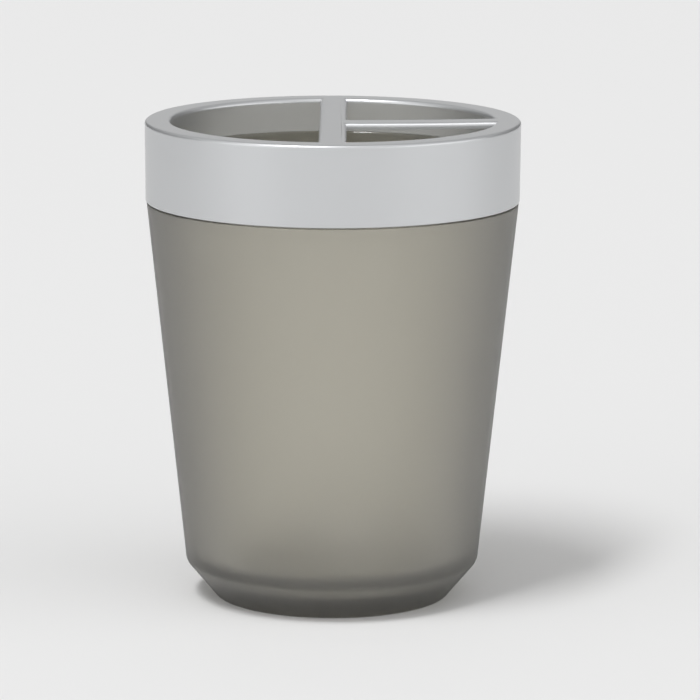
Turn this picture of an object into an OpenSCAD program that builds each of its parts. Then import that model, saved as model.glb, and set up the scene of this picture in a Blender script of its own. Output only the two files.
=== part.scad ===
// Toothbrush holder: a thick frosted tumbler with a lift-off lid.
// Two bars split the lid's mouth into one half-moon and two quarter openings.
// Millimetres, +Z up. The origin is on the floor, at the centre of the foot.
// The longer bar runs along Y, and the shorter one runs from it towards +X.

/* [Overall] */
// Height from the floor to the flat top of the lid
holder_h = 108; // [85:1:140]
// Diameter of the lid across its top edge
lid_d = 84; // [78:0.5:100]

/* [Lid] */
// Height of the lid's skirt, from its bottom edge to the flat top
skirt_h = 18; // [14:0.5:26]
// Thickness of the skirt
skirt_t = 2; // [1.4:0.1:2.6]
// How much the skirt's outside radius narrows from the top to the bottom
skirt_taper = 0.15; // [0:0.05:0.5]
// Thickness of the lid's top face and of the two bars
face_t = 1.5; // [1.2:0.1:2.2]
// Width of the ring between the skirt's outside and the mouth
ring_w = 5.8; // [5.6:0.05:8]
// Depth of the wall round the mouth, which stands on the tumbler's rim
mouth_h = 7.65; // [5:0.05:10]
// Thickness of the wall round the mouth
mouth_t = 1.5; // [1.2:0.1:1.6]
// How much the mouth widens in radius from its top to its bottom
mouth_taper = 0.65; // [0.2:0.05:0.8]
// Width of the bar that runs from front to back
long_bar_w = 6.1; // [4:0.1:9]
// Width of the bar that splits the right half
short_bar_w = 6.1; // [3:0.1:9]
// Radius of the edges round the three openings
opening_edge_r = 0.95; // [0.4:0.05:1.1]
// Radius of the lid's outside top edge
lid_edge_r = 1.1; // [0.4:0.05:1.4]
// Radius of the skirt's bottom edges
skirt_edge_r = 0.25; // [0.1:0.05:0.5]

/* [Tumbler] */
// Diameter where the tapered wall would meet the chamfered foot
corner_d = 66; // [58:0.5:72]
// Height of that corner
corner_h = 8; // [5:0.5:14]
// Radius of the soft bend at that corner
corner_blend_r = 2.4; // [1:0.1:6]
// How far the foot's edge lies inside that corner
foot_inset = 6.7; // [3:0.1:9]
// Radius of the foot's bottom edge
foot_edge_r = 1; // [0.3:0.1:1.5]
// Width of the ring that the tumbler stands on
foot_ring_w = 4; // [2.5:0.5:8]
// Depth of the hollow under the tumbler
recess_h = 1; // [0.5:0.1:2]
// Height of the inside floor
floor_h = 6; // [4.5:0.5:8]
// Thickness of the wall where it bends in to the foot
foot_wall_t = 5.5; // [4:0.1:6.5]
// Radius of the inside bend above the foot
inside_bend_r = 4; // [1:0.5:6]
// Radius between the inside wall and the inside floor
floor_blend_r = 2; // [0.5:0.5:4]
// How far the rim's lip shows inside the lid's mouth
lip_w = 0.4; // [0.1:0.05:0.8]
// Radius of the rim's inside edge
lip_edge_r = 0.6; // [0.2:0.05:0.8]
// Size of the slanted edge that guides the lid onto the neck
neck_lead = 0.5; // [0.2:0.1:0.8]

/* [Fit] */
// Space all round between the neck and the skirt
neck_clear = 0.2; // [0.1:0.05:0.4]
// Height of the fine seam between the shoulder and the skirt
seam_gap = 0.3; // [0.2:0.05:0.6]
// How far the skirt stands proud of the shoulder
shoulder_step = 0.2; // [0:0.05:0.6]
// Radius of the shoulder's edge
shoulder_edge_r = 0.3; // [0.1:0.05:0.6]

/* [Hidden] */
$fn = 128;

// Steps in each rounded corner of an outline
arc_steps = 10;
// Largest share of a side that the rounding of a corner may use
side_share = 0.48;
// How far a cutting shape runs past what it cuts
overrun = 1;

// Lid
lid_r = lid_d / 2;
skirt_z = holder_h - skirt_h;
skirt_low_r = lid_r - skirt_taper;
skirt_in_r = skirt_low_r - skirt_t;
face_z = holder_h - face_t;
mouth_r = lid_r - ring_w;
mouth_low_r = mouth_r + mouth_taper;
mouth_slope = mouth_taper / mouth_h;
mouth_face_r = mouth_r + mouth_slope * face_t;

// Tumbler
rim_z = holder_h - mouth_h;
shoulder_z = skirt_z - seam_gap;
shoulder_r = skirt_low_r - shoulder_step;
neck_r = skirt_in_r - neck_clear;
bore_r = mouth_low_r - lip_w;
corner_r = corner_d / 2;
foot_r = corner_r - foot_inset;
recess_r = foot_r - foot_ring_w;

function unit(v) = v / norm(v);

// The direction straight into a wall whose outside rises from a to b
function inward(a, b) = let (rise = unit(b - a)) [-rise[1], rise[0]];

// The inside bend lies one wall's thickness in from both the foot and the wall above it,
// and from there the inside follows the foot's slope down to the floor.
foot_inward = inward([foot_r, 0], [corner_r, corner_h]);
wall_inward = inward([corner_r, corner_h], [shoulder_r, shoulder_z]);
inside_bend = [corner_r, corner_h]
    + foot_wall_t * (foot_inward + wall_inward) / (1 + foot_inward * wall_inward);
floor_r = inside_bend[0] - (inside_bend[1] - floor_h) * foot_inset / corner_h;

function signed_turn(a) = a > 180 ? a - 360 : a < -180 ? a + 360 : a;

// Points that round the corner at p, between the points before and after it, with radius r.
// The rounding takes no more than its share of either side.
function rounded(before, p, after, r) =
    let (
        a = unit(before - p),
        b = unit(after - p),
        half = acos(a * b) / 2,
        room = side_share * min(norm(before - p), norm(after - p)),
        reach = min(r / tan(half), room),
        centre = p + unit(a + b) * reach / cos(half),
        radius = reach * tan(half),
        from = p + a * reach - centre,
        to = p + b * reach - centre,
        start = atan2(from[1], from[0]),
        turn = signed_turn(atan2(to[1], to[0]) - start)
    )
    [for (i = [0 : arc_steps])
        let (angle = start + turn * i / arc_steps)
        centre + radius * [cos(angle), sin(angle)]];

// An outline of [x, y, radius] corners, with every corner of radius above zero rounded
function outline(corners) =
    let (n = len(corners))
    [for (i = [0 : n - 1])
        let (
            c = corners[i],
            before = corners[(i + n - 1) % n],
            after = corners[(i + 1) % n],
            p = [c[0], c[1]]
        )
        each (c[2] > 0
            ? rounded([before[0], before[1]], p, [after[0], after[1]], c[2])
            : [p])];

// The wall, foot, neck and bore of the tumbler in one turned outline
module tumbler() {
    color([0.60, 0.58, 0.55, 0.85])
        rotate_extrude()
            polygon(outline([
                [0, recess_h, 0],
                [recess_r, recess_h, recess_h / 2],
                [recess_r, 0, 0],
                [foot_r, 0, foot_edge_r],
                [corner_r, corner_h, corner_blend_r],
                [shoulder_r, shoulder_z, shoulder_edge_r],
                [neck_r, shoulder_z, 0],
                [neck_r, rim_z - neck_lead, 0],
                [neck_r - neck_lead, rim_z, 0],
                [bore_r, rim_z, lip_edge_r],
                [inside_bend[0], inside_bend[1], inside_bend_r],
                [floor_r, floor_h, floor_blend_r],
                [0, floor_h, 0]
            ]));
}

// The lid before its mouth is opened: skirt, flat face, and the wall round the mouth
module lid_blank() {
    rotate_extrude()
        polygon(outline([
            [0, face_z, 0],
            [mouth_face_r, face_z, 0],
            [mouth_low_r, rim_z, 0],
            [mouth_low_r + mouth_t, rim_z, 0],
            [mouth_face_r + mouth_t, face_z, 0],
            [skirt_in_r, face_z, 0],
            [skirt_in_r, skirt_z, skirt_edge_r],
            [skirt_low_r, skirt_z, skirt_edge_r],
            [lid_r, holder_h, lid_edge_r],
            [0, holder_h, 0]
        ]));
}

// The quarter circle that softens an opening's edge, bulging away from the metal at x = edge
function soft_edge(edge) =
    [for (i = [0 : arc_steps])
        let (angle = 90 * i / arc_steps)
        [
            edge + opening_edge_r * (1 - cos(angle)),
            holder_h - opening_edge_r * (1 - sin(angle))
        ]];

// The round mouth, flared at the top edge
module mouth_cut() {
    rotate_extrude()
        polygon(concat(
            [
                [0, face_z - overrun],
                [mouth_face_r - overrun, face_z - overrun],
                [mouth_face_r, face_z]
            ],
            soft_edge(mouth_r),
            [
                [mouth_r + opening_edge_r, holder_h + overrun],
                [0, holder_h + overrun]
            ]
        ));
}

// All that lies beyond one side of a bar, on the side that the angle points to
module beside_bar(bar_w, angle) {
    rotate([0, 0, angle])
        rotate([90, 0, 0])
            linear_extrude(height = 2 * lid_r, center = true)
                mirror([1, 0])
                    polygon(concat(
                        [
                            [-lid_r, face_z - 2 * overrun],
                            [-bar_w / 2, face_z - 2 * overrun]
                        ],
                        soft_edge(-bar_w / 2),
                        [
                            [opening_edge_r - bar_w / 2, holder_h + 2 * overrun],
                            [-lid_r, holder_h + 2 * overrun]
                        ]
                    ));
}

// The half-moon opening on the left
module left_opening() {
    intersection() {
        mouth_cut();
        beside_bar(long_bar_w, 180);
    }
}

// One of the two quarter openings on the right: 90 is the back one, and -90 the front one
module right_opening(angle) {
    intersection() {
        mouth_cut();
        beside_bar(long_bar_w, 0);
        beside_bar(short_bar_w, angle);
    }
}

module lid() {
    color([0.76, 0.77, 0.77])
        difference() {
            lid_blank();
            left_opening();
            right_opening(90);
            right_opening(-90);
        }
}

tumbler();
lid();
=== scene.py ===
import math

import bmesh
import bpy
import numpy as np
from mathutils import Euler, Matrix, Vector
from mathutils.geometry import tessellate_polygon


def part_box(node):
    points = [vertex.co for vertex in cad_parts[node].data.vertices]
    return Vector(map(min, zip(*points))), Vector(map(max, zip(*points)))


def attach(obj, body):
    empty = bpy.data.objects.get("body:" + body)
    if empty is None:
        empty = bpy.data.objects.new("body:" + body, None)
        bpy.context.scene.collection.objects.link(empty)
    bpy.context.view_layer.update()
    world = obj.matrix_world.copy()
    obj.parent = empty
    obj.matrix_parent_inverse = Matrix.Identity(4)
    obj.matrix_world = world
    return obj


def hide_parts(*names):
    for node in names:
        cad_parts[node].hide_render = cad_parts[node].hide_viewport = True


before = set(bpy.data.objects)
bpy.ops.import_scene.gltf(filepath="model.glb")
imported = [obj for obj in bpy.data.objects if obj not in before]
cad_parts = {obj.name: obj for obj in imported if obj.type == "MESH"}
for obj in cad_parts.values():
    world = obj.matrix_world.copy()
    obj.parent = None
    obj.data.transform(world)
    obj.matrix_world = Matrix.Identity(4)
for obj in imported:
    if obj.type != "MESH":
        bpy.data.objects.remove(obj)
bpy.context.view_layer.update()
scene = bpy.context.scene
scene.view_settings.view_transform = "Standard"


# The camera
# A long lens about a metre away, looking down at the holder from above its lid.
# The holder stands a little left of the picture's middle, and the picture leans a hair.
photo_px = 700
focal_px = 4438
camera_distance = 1.0
camera_pitch = math.radians(10.66)
camera_lean = math.radians(0.19)
camera_aside = 0.00397
aim_height = 0.05564

camera_data = bpy.data.cameras.new("camera")
camera_data.sensor_width = 36
camera_data.lens = camera_data.sensor_width * focal_px / photo_px
camera_data.clip_start = 0.05
camera_data.clip_end = 20
camera = bpy.data.objects.new("camera", camera_data)
camera.location = (
    camera_aside,
    -camera_distance * math.cos(camera_pitch),
    aim_height + camera_distance * math.sin(camera_pitch),
)
upright = Euler((math.pi / 2 - camera_pitch, 0, 0)).to_quaternion()
leaning = Euler((0, 0, camera_lean)).to_quaternion()
camera.rotation_mode = "QUATERNION"
camera.rotation_quaternion = upright @ leaning
scene.collection.objects.link(camera)
scene.camera = camera


# The floor
# A plain pale sheet that runs far back under the holder, so that it is the backdrop too.
floor_reach = 6.0
floor_colour = (0.80, 0.80, 0.80, 1)

floor_mesh = bpy.data.meshes.new("floor")
floor_corners = floor_reach * np.array([[-1, -1, 0], [1, -1, 0], [1, 1, 0], [-1, 1, 0]])
floor_mesh.from_pydata(floor_corners.tolist(), [], [(0, 1, 2, 3)])
floor_material = bpy.data.materials.new("floor_paper")
floor_material.use_nodes = True
floor_shader = floor_material.node_tree.nodes["Principled BSDF"]
floor_shader.inputs["Base Color"].default_value = floor_colour
floor_shader.inputs["Roughness"].default_value = 0.9
floor_shader.inputs["Specular IOR Level"].default_value = 0.1
floor_mesh.materials.append(floor_material)
floor = bpy.data.objects.new("floor", floor_mesh)
scene.collection.objects.link(floor)


# The light
# A long soft lamp high at the front left makes the shadow, and two wide ones stand low at
# the front, all so far away that they light the whole floor alike. The room is pale, darker
# high at the back, with two dark screens low behind the holder, at the left and the right.
lamp_distance = 40.0
high_front_tone = 0.80
high_back_tone = 0.40
front_tone = 0.84
back_tone = 0.66
screen_tone = 0.08
# How much further round to the front the left screen reaches, and where each part of the
# room begins and is complete, as shares of a direction whose length is 1
left_reach = 0.3
behind_starts, behind_ends = 0.18, 0.32
aside_starts, aside_ends = 0.20, 0.32
high_starts, high_ends = 0.30, 0.46
high_back_starts, high_back_ends = -0.25, 0.25


def soft_lamp(name, azimuth, elevation, lean, width, length, light):
    """An oval lamp that faces the holder. Its azimuth is counted from the camera's side
    towards the left and its elevation from the floor. It looks width by length degrees
    large from the holder and leans by that many degrees. The light is how bright it makes
    a white sheet that faces it."""
    turn, lift = math.radians(azimuth), math.radians(elevation)
    away = Vector(
        (-math.sin(turn) * math.cos(lift), -math.cos(turn) * math.cos(lift), math.sin(lift))
    )
    data = bpy.data.lights.new(name, "AREA")
    data.shape = "ELLIPSE"
    data.size = 2 * lamp_distance * math.tan(math.radians(width) / 2)
    data.size_y = 2 * lamp_distance * math.tan(math.radians(length) / 2)
    data.energy = light * math.pi**2 * lamp_distance**2
    lamp = bpy.data.objects.new(name, data)
    lamp.rotation_mode = "QUATERNION"
    leaning_lamp = Euler((0, 0, math.radians(lean))).to_quaternion()
    lamp.rotation_quaternion = away.to_track_quat("Z", "Y") @ leaning_lamp
    lamp.location = away * lamp_distance
    scene.collection.objects.link(lamp)


soft_lamp("key_lamp", azimuth=37.5, elevation=65, lean=20, width=9, length=30, light=0.462)
soft_lamp("left_lamp", azimuth=52, elevation=17, lean=0, width=40, length=38, light=0.085)
soft_lamp("right_lamp", azimuth=-70, elevation=17, lean=0, width=74, length=38, light=0.16)

room = bpy.data.worlds.new("room")
room.use_nodes = True
room_nodes, room_links = room.node_tree.nodes, room.node_tree.links


def worked_out(operation, *values):
    """The result of one step of arithmetic on numbers or on what other nodes put out."""
    node = room_nodes.new("ShaderNodeMath")
    node.operation = operation
    for socket, value in zip(node.inputs, values):
        if isinstance(value, float):
            socket.default_value = value
        else:
            room_links.new(value, socket)
    return node.outputs[0]


def step(value, start, end):
    """0 where the value is under start, 1 where it is over end, and smooth between."""
    node = room_nodes.new("ShaderNodeMapRange")
    node.interpolation_type = "SMOOTHSTEP"
    node.inputs["From Min"].default_value = start
    node.inputs["From Max"].default_value = end
    room_links.new(value, node.inputs["Value"])
    return node.outputs["Result"]


def mixed(share, without, fully):
    """From one tone to the other as the share goes from 0 to 1."""
    node = room_nodes.new("ShaderNodeMix")
    room_links.new(share, node.inputs["Factor"])
    for socket, tone in (("A", without), ("B", fully)):
        if isinstance(tone, float):
            node.inputs[socket].default_value = tone
        else:
            room_links.new(tone, node.inputs[socket])
    return node.outputs["Result"]


looking = room_nodes.new("ShaderNodeTexCoord")
way = room_nodes.new("ShaderNodeSeparateXYZ")
room_links.new(looking.outputs["Generated"], way.inputs["Vector"])
aside = worked_out("ABSOLUTE", way.outputs["X"])
leftward = worked_out("MINIMUM", way.outputs["X"], 0.0)
back = worked_out("MULTIPLY_ADD", leftward, -left_reach, way.outputs["Y"])
height = worked_out("ABSOLUTE", way.outputs["Z"])
is_behind = step(back, behind_starts, behind_ends)
is_aside = step(aside, aside_starts, aside_ends)
is_high = step(height, high_starts, high_ends)
is_high_back = step(way.outputs["Y"], high_back_starts, high_back_ends)
behind_tone = mixed(is_aside, back_tone, screen_tone)
low_tone = mixed(is_behind, front_tone, behind_tone)
high_tone = mixed(is_high_back, high_front_tone, high_back_tone)
room_links.new(
    mixed(is_high, low_tone, high_tone), room_nodes["Background"].inputs["Color"]
)
scene.world = room


# The tumbler
# One thick moulding of smoke-grey translucent plastic, frosted outside and smooth inside.
# Its wall tapers down to a chamfered foot, and its neck and rim are hidden in the lid.
MM = 0.001
tumbler_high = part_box("tumbler")[1]
lid_box_low, lid_box_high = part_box("lid")
rim_z = tumbler_high.z
skirt_z = lid_box_low.z
lid_top_z = lid_box_high.z
seam_gap = 0.3 * MM
shoulder_z = skirt_z - seam_gap
shoulder_r = 41.65 * MM
shoulder_edge = 0.3 * MM
neck_r = 39.65 * MM
neck_lead = 0.5 * MM
bore_r = 36.45 * MM
lip_edge_r = 0.6 * MM
corner_r = 33 * MM
corner_z = 8 * MM
corner_blend = 2.4 * MM
foot_r = 26.3 * MM
foot_edge = 1.0 * MM
recess_r = 22.3 * MM
recess_z = 1.0 * MM
foot_wall = 5.5 * MM
bore_floor_z = 6 * MM
bore_floor_blend = 2 * MM
inside_bend = 4 * MM
around = 288
# The steps of a rounding, the largest share of a side that it uses, and how far from it the
# point lies that keeps smooth shading inside it
rounding_steps = 12
side_share = 0.48
shading_hold = 0.12 * MM


def rounded_path(corners):
    """A path through (radius, height, rounding) corners. A rounded corner becomes the arc
    that touches both of its sides, with one more point just before and just after it, so
    that smooth shading stays inside the arc. The two ends are kept as they are."""
    points = [np.array(corners[0][:2])]
    for before, corner, after in zip(corners, corners[1:], corners[2:]):
        p = np.array(corner[:2])
        if not corner[2]:
            points.append(p)
            continue
        side_a, side_b = np.array(before[:2]) - p, np.array(after[:2]) - p
        a, b = side_a / np.linalg.norm(side_a), side_b / np.linalg.norm(side_b)
        half = math.acos(a @ b) / 2
        room_left = side_share * min(np.linalg.norm(side_a), np.linalg.norm(side_b))
        reach = min(corner[2] / math.tan(half), room_left)
        middle = p + (a + b) / np.linalg.norm(a + b) * reach / math.cos(half)
        start, end = p + a * reach - middle, p + b * reach - middle
        share = np.linspace(0, 1, rounding_steps + 1)[:, None]
        swing = math.pi - 2 * half
        arc = np.sin((1 - share) * swing) * start + np.sin(share * swing) * end
        past_reach = reach + shading_hold
        points += [p + a * past_reach, *(middle + arc / math.sin(swing)), p + b * past_reach]
    points.append(np.array(corners[-1][:2]))
    return np.array(points)


def turned(path, angles):
    """The surface that a path of (radius, height) points sweeps when it turns round Z:
    point (i, j) lies at radius i and height i of the path, in the direction of angle j."""
    radius, height = path[:, :1], path[:, 1:]
    return np.stack(
        [radius * np.cos(angles), radius * np.sin(angles), height + 0 * angles], axis=-1
    )


def closed_piece(name, grids, flats, material):
    """One closed mesh from grids of points, whose neighbours in both directions make a
    face, and from flat outlines that are filled. Points that meet are merged."""
    merge_distance = 0.001 * MM
    sharp_angle = math.radians(38)
    points, faces, used = [], [], 0
    for grid in grids:
        rows, columns = grid.shape[:2]
        corner = used + np.arange(rows - 1)[:, None] * columns + np.arange(columns - 1)
        quads = np.stack([corner, corner + 1, corner + columns + 1, corner + columns], axis=-1)
        points.append(grid.reshape(-1, 3))
        faces += quads.reshape(-1, 4).tolist()
        used += rows * columns
    for loops in flats:
        faces += (used + np.array(tessellate_polygon(loops))).tolist()
        points += loops
        used += sum(len(loop) for loop in loops)
    mesh = bpy.data.meshes.new(name)
    mesh.from_pydata(np.concatenate(points).tolist(), [], faces)
    shape = bmesh.new()
    shape.from_mesh(mesh)
    bmesh.ops.remove_doubles(shape, verts=shape.verts, dist=merge_distance)
    bmesh.ops.recalc_face_normals(shape, faces=shape.faces)
    shape.to_mesh(mesh)
    shape.free()
    mesh.polygons.foreach_set("use_smooth", [True] * len(mesh.polygons))
    mesh.set_sharp_from_angle(angle=sharp_angle)
    mesh.materials.append(material)
    piece = bpy.data.objects.new(name, mesh)
    scene.collection.objects.link(piece)
    return piece


def satin_grain():
    """A shader group for the satin surface of both mouldings, in object space. Grain is
    noise of the given size, Cloud is slower noise of the given size, and both run from 0
    to 1. Tone is 1 give or take Tone Change with the cloud, Roughness is the given one
    give or take its change with the grain, and Height is the grain."""
    group = bpy.data.node_groups.new("satin_grain", "ShaderNodeTree")
    nodes, links = group.nodes, group.links
    for socket, value in (
        ("Grain Size", 0.0003),
        ("Cloud Size", 0.012),
        ("Tone Change", 0.02),
        ("Roughness", 0.4),
        ("Roughness Change", 0.05),
    ):
        entry = group.interface.new_socket(
            socket, in_out="INPUT", socket_type="NodeSocketFloat"
        )
        entry.default_value = value
    for socket in ("Tone", "Roughness", "Height"):
        group.interface.new_socket(socket, in_out="OUTPUT", socket_type="NodeSocketFloat")
    given, result = nodes.new("NodeGroupInput"), nodes.new("NodeGroupOutput")
    place = nodes.new("ShaderNodeTexCoord")

    def noise(size, detail):
        """Noise whose spots are about as large as the given size."""
        scale = nodes.new("ShaderNodeMath")
        scale.operation = "DIVIDE"
        scale.inputs[0].default_value = 1
        links.new(given.outputs[size], scale.inputs[1])
        texture = nodes.new("ShaderNodeTexNoise")
        texture.inputs["Detail"].default_value = detail
        links.new(place.outputs["Object"], texture.inputs["Vector"])
        links.new(scale.outputs[0], texture.inputs["Scale"])
        return texture.outputs["Fac"]

    def around_middle(middle, change, share):
        """The middle, less the change where the share is 0, and plus it where it is 1."""
        swing = nodes.new("ShaderNodeMapRange")
        swing.inputs["To Min"].default_value = -1
        links.new(share, swing.inputs["Value"])
        total = nodes.new("ShaderNodeMath")
        total.operation = "MULTIPLY_ADD"
        links.new(swing.outputs["Result"], total.inputs[0])
        links.new(given.outputs[change], total.inputs[1])
        if isinstance(middle, str):
            links.new(given.outputs[middle], total.inputs[2])
        else:
            total.inputs[2].default_value = middle
        return total.outputs[0]

    grain = noise("Grain Size", 2)
    cloud = noise("Cloud Size", 1)
    links.new(around_middle(1, "Tone Change", cloud), result.inputs["Tone"])
    links.new(around_middle("Roughness", "Roughness Change", grain), result.inputs["Roughness"])
    links.new(grain, result.inputs["Height"])
    return group


def satin_finish(material, colour, grain_size, tone_change, roughness, roughness_change, depth):
    """Puts the satin grain into a material: its tone times the colour, its roughness, and
    its height as a bump of that depth."""
    nodes, links = material.node_tree.nodes, material.node_tree.links
    shader = nodes["Principled BSDF"]
    grain = nodes.new("ShaderNodeGroup")
    grain.node_tree = bpy.data.node_groups.get("satin_grain") or satin_grain()
    grain.inputs["Grain Size"].default_value = grain_size
    grain.inputs["Tone Change"].default_value = tone_change
    grain.inputs["Roughness"].default_value = roughness
    grain.inputs["Roughness Change"].default_value = roughness_change
    tinted = nodes.new("ShaderNodeMix")
    tinted.data_type = "RGBA"
    tinted.blend_type = "MULTIPLY"
    tinted.inputs["Factor"].default_value = 1
    tinted.inputs["A"].default_value = colour
    bump = nodes.new("ShaderNodeBump")
    bump.inputs["Distance"].default_value = depth
    links.new(grain.outputs["Tone"], tinted.inputs["B"])
    links.new(tinted.outputs["Result"], shader.inputs["Base Color"])
    links.new(grain.outputs["Roughness"], shader.inputs["Roughness"])
    links.new(grain.outputs["Height"], bump.inputs["Height"])
    links.new(bump.outputs["Normal"], shader.inputs["Normal"])


smoke_skin = (1, 0.98, 0.90, 1)
smoke_inside_roughness = 0.12
smoke_depth_colour = (0.60, 0.592, 0.585, 1)
smoke_density = 136


def frosted_smoke():
    """Smoke-grey plastic that light gets through. A frosted skin outside and a smooth one
    inside let it in and warm it a little, and the depth of the plastic takes some away."""
    material = bpy.data.materials.new("frosted_smoke_plastic")
    material.use_nodes = True
    nodes, links = material.node_tree.nodes, material.node_tree.links
    satin_finish(
        material,
        colour=smoke_skin,
        grain_size=0.35 * MM,
        tone_change=0.01,
        roughness=0.55,
        roughness_change=0.04,
        depth=0.004 * MM,
    )
    shader = nodes["Principled BSDF"]
    shader.inputs["IOR"].default_value = 1.5
    shader.inputs["Transmission Weight"].default_value = 0.96
    shader.inputs["Coat Weight"].default_value = 0.2
    shader.inputs["Coat Roughness"].default_value = 0.3
    inside = nodes.new("ShaderNodeAttribute")
    inside.attribute_name = "inside"
    skin = nodes.new("ShaderNodeMix")
    skin.inputs["B"].default_value = smoke_inside_roughness
    links.new(inside.outputs["Fac"], skin.inputs["Factor"])
    links.new(shader.inputs["Roughness"].links[0].from_socket, skin.inputs["A"])
    links.new(skin.outputs["Result"], shader.inputs["Roughness"])
    absorb = nodes.new("ShaderNodeVolumeAbsorption")
    absorb.inputs["Color"].default_value = smoke_depth_colour
    absorb.inputs["Density"].default_value = smoke_density
    links.new(absorb.outputs["Volume"], nodes["Material Output"].inputs["Volume"])
    return material


def inward(a, b):
    """The direction straight into a wall whose outside rises from a to b."""
    rise = (b - a) / np.linalg.norm(b - a)
    return np.array([-rise[1], rise[0]])


# The inside bend lies one wall's thickness in from both the foot and the wall above it,
# and from there the inside follows the foot's slope down to its floor.
foot_end, corner, shoulder = np.array(
    [(foot_r, 0), (corner_r, corner_z), (shoulder_r, shoulder_z)]
)
foot_inward, wall_inward = inward(foot_end, corner), inward(corner, shoulder)
both_inward = (foot_inward + wall_inward) / (1 + foot_inward @ wall_inward)
bend_r, bend_z = corner + foot_wall * both_inward
bore_floor_r = bend_r - (bend_z - bore_floor_z) * (corner_r - foot_r) / corner_z
tumbler_path = rounded_path([
    (0, recess_z, 0),
    (recess_r, recess_z, recess_z / 2),
    (recess_r, 0, 0),
    (foot_r, 0, foot_edge),
    (corner_r, corner_z, corner_blend),
    (shoulder_r, shoulder_z, shoulder_edge),
    (neck_r, shoulder_z, 0),
    (neck_r, rim_z - neck_lead, 0),
    (neck_r - neck_lead, rim_z, 0),
    (bore_r, rim_z, lip_edge_r),
    (bend_r, bend_z, inside_bend),
    (bore_floor_r, bore_floor_z, bore_floor_blend),
    (0, bore_floor_z, 0),
])
full_turn = np.linspace(0, 2 * math.pi, around + 1)
tumbler = closed_piece(
    "frosted_tumbler", [turned(tumbler_path, full_turn)], [], frosted_smoke()
)


def mark_inside(piece, line, spare=0.3 * MM):
    """Gives each point of the piece the attribute "inside": 1 where it lies above the first
    height of the line of (radius, height) and no further out than the line, and else 0."""
    places = np.empty(3 * len(piece.data.vertices))
    piece.data.vertices.foreach_get("co", places)
    x, y, z = places.reshape(-1, 3).T
    limit = np.interp(z, line[:, 1], line[:, 0]) + spare
    inside = (z > line[0, 1] - spare) & (np.hypot(x, y) < limit)
    attribute = piece.data.attributes.new("inside", "FLOAT", "POINT")
    attribute.data.foreach_set("value", inside.astype(np.float32))


mark_inside(
    tumbler, np.array([(bore_floor_r, bore_floor_z), (bend_r, bend_z), (bore_r, rim_z)])
)
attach(tumbler, "tumbler")
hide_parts("tumbler")


# The lid
# One moulding painted satin silver. Its skirt drops over the tumbler's neck, the wall
# round its mouth stands on the rim, and a long and a short bar split the mouth in three.
lid_r = 42 * MM
skirt_low_r = 41.85 * MM
skirt_in_r = 39.85 * MM
face_t = 1.5 * MM
face_z = lid_top_z - face_t
mouth_r = 36.2 * MM
mouth_low_r = 36.85 * MM
mouth_wall = 1.5 * MM
mouth_face_r = mouth_r + (mouth_low_r - mouth_r) * face_t / (lid_top_z - rim_z)
long_bar_half = 3.05 * MM
short_bar_half = 3.05 * MM
bar_sag = 0.45 * MM
edge_r = 0.95 * MM
lid_edge = 1.1 * MM
skirt_edge = 0.25 * MM
inner_edge = 0.3 * MM
flat_r = 40.4 * MM
# The steps along the half-moon's arc and its straight side, along a quarter's arc and each
# of its straight sides, along the arc at a bar's end, and down a rounded edge
moon_steps = 136
moon_side_steps = 60
quarter_steps = 66
quarter_side_steps = 36
bar_end_steps = 8
edge_steps = 12


def spread(start, end, count):
    """count + 1 even values from start to end, along the last axis."""
    return start + (end - start) * np.linspace(0, 1, count + 1)


def straight(x, y):
    """Points of a stretch along which one of x and y stays the same."""
    return np.stack(np.broadcast_arrays(x, y), axis=-1)


def on_circle(radius, angle):
    """Points at x = radius times the angle's cosine and y = radius times its sine."""
    return np.stack([radius * np.cos(angle), radius * np.sin(angle)], axis=-1)


def half_moon(edge, radius):
    """The stretches of the left opening, one outline a row: round the circle of that radius
    from the back to the front, and back along the bar's side, which lies at x = -edge."""
    turn = np.arccos(-edge / radius)
    half = np.sqrt(radius**2 - edge**2)
    return (
        on_circle(radius, spread(turn, 2 * math.pi - turn, moon_steps)),
        straight(-edge, spread(-half, half, moon_side_steps)),
    )


def quarter(edge, low, radius):
    """The stretches of a quarter opening, one outline a row: out along the short bar, whose
    side lies at y = low, round the circle, and back along the long bar at x = edge."""
    out, up = np.sqrt(radius**2 - low**2), np.sqrt(radius**2 - edge**2)
    start, end = np.arcsin(low / radius), np.arccos(edge / radius)
    return (
        straight(spread(edge, out, quarter_side_steps), low),
        on_circle(radius, spread(start, end, quarter_steps)),
        straight(edge, spread(up, low, quarter_side_steps)),
    )


def joined(stretches):
    """Stretches laid end to end, each without the point that the last one ended at."""
    return np.concatenate(
        [stretches[0]] + [stretch[..., 1:, :] for stretch in stretches[1:]], axis=-2
    )


silver = (0.60, 0.61, 0.62, 1)
silver_rim_tint = (0.8, 0.8, 0.8, 1)


def satin_silver():
    """Silver paint with very fine flakes under a thin clear coat, on a plastic moulding."""
    material = bpy.data.materials.new("satin_silver_plastic")
    material.use_nodes = True
    satin_finish(
        material,
        colour=silver,
        grain_size=0.15 * MM,
        tone_change=0.012,
        roughness=0.36,
        roughness_change=0.05,
        depth=0.002 * MM,
    )
    shader = material.node_tree.nodes["Principled BSDF"]
    shader.inputs["Metallic"].default_value = 0.75
    shader.inputs["Specular Tint"].default_value = silver_rim_tint
    shader.inputs["Coat Weight"].default_value = 0.3
    shader.inputs["Coat Roughness"].default_value = 0.12
    return material


def raised(outline, height):
    """Flat points lifted to a height, and lowered again where the bars sag: by the whole
    sag at the middle, and by less towards the mouth's edge, as a parabola."""
    radius = np.linalg.norm(outline, axis=-1, keepdims=True)
    sag = bar_sag * np.clip(1 - (radius / mouth_r) ** 2, 0, None)
    return np.concatenate([outline, height - sag], axis=-1)


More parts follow.
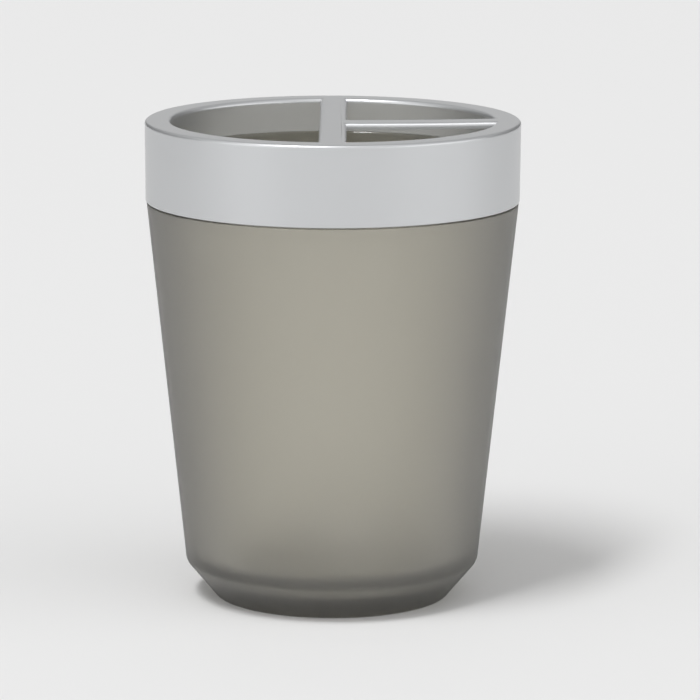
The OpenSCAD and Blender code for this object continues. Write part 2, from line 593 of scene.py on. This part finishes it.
# From the bars' underside, straight up the openings' sides, round their top edges, and a
# hair out onto the flat: how far the sides have moved back into the metal, and how high.
edge_swing = spread(0, math.pi / 2, edge_steps)
edge_back = edge_r * (1 - np.cos(edge_swing))
edge_level = lid_top_z - edge_r * (1 - np.sin(edge_swing))
moved_back = np.concatenate([[0], edge_back, [edge_r + shading_hold]])[:, None]
level = np.concatenate([[face_z], edge_level, [lid_top_z]])[:, None]
mouth = mouth_r + moved_back
mouth[0] = mouth_face_r
long_side = long_bar_half - moved_back
short_side = short_bar_half - moved_back
mirror_y = np.array([1, -1])

moon = half_moon(long_side, mouth)
back_quarter = quarter(long_side, short_side, mouth)
front_quarter = [stretch * mirror_y for stretch in back_quarter]
opening_sides = [
    raised(joined(stretches), level[..., None])
    for stretches in (moon, back_quarter, front_quarter)
]


def bar_ends(row):
    """The angles of the arcs at the bars' right, back and front ends, at one level of the
    openings' sides."""
    turn_short = math.asin(short_side[row, 0] / mouth[row, 0])
    turn_long = math.acos(long_side[row, 0] / mouth[row, 0])
    return (
        spread(-turn_short, turn_short, bar_end_steps),
        spread(turn_long, math.pi - turn_long, bar_end_steps),
        spread(math.pi + turn_long, 2 * math.pi - turn_long, bar_end_steps),
    )


def bars_outline(row):
    """The outline of both bars at one level of the openings' sides, with arcs for ends."""
    right, back, front = (on_circle(mouth[row, 0], end) for end in bar_ends(row))
    return joined([
        right,
        back_quarter[0][row][::-1],
        back_quarter[2][row][::-1],
        back,
        moon[1][row][::-1],
        front,
        front_quarter[2][row],
        front_quarter[0][row],
    ])[:-1]


right_end, back_end, front_end = bar_ends(0)
lid_angles = np.concatenate([
    right_end,
    spread(right_end[-1], back_end[0], quarter_steps)[1:],
    back_end[1:],
    spread(back_end[-1], front_end[0], moon_steps)[1:],
    front_end[1:],
    spread(front_end[-1], right_end[0] + 2 * math.pi, quarter_steps)[1:],
])
lid_path = rounded_path([
    (flat_r, lid_top_z, 0),
    (lid_r, lid_top_z, lid_edge),
    (skirt_low_r, skirt_z, skirt_edge),
    (skirt_in_r, skirt_z, skirt_edge),
    (skirt_in_r, face_z, inner_edge),
    (mouth_face_r + mouth_wall, face_z, inner_edge),
    (mouth_low_r + mouth_wall, rim_z, 0),
    (mouth_low_r, rim_z, 0),
    (mouth_face_r, face_z, 0),
])
top_ends = [on_circle(mouth[-1, 0], end) for end in bar_ends(-1)]
mouth_edge = joined([
    top_ends[0],
    back_quarter[1][-1],
    top_ends[1],
    moon[0][-1],
    top_ends[2],
    front_quarter[1][-1][::-1],
])[:-1]
outer_edge = turned(np.array([[flat_r, lid_top_z]]), lid_angles)[0][:-1]

lid = closed_piece(
    "silver_lid",
    [turned(lid_path, lid_angles), *opening_sides],
    [
        [outer_edge, raised(mouth_edge, lid_top_z)],
        [raised(bars_outline(-1), lid_top_z)],
        [raised(bars_outline(0), face_z)],
    ],
    satin_silver(),
)
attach(lid, "lid")
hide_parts("lid")
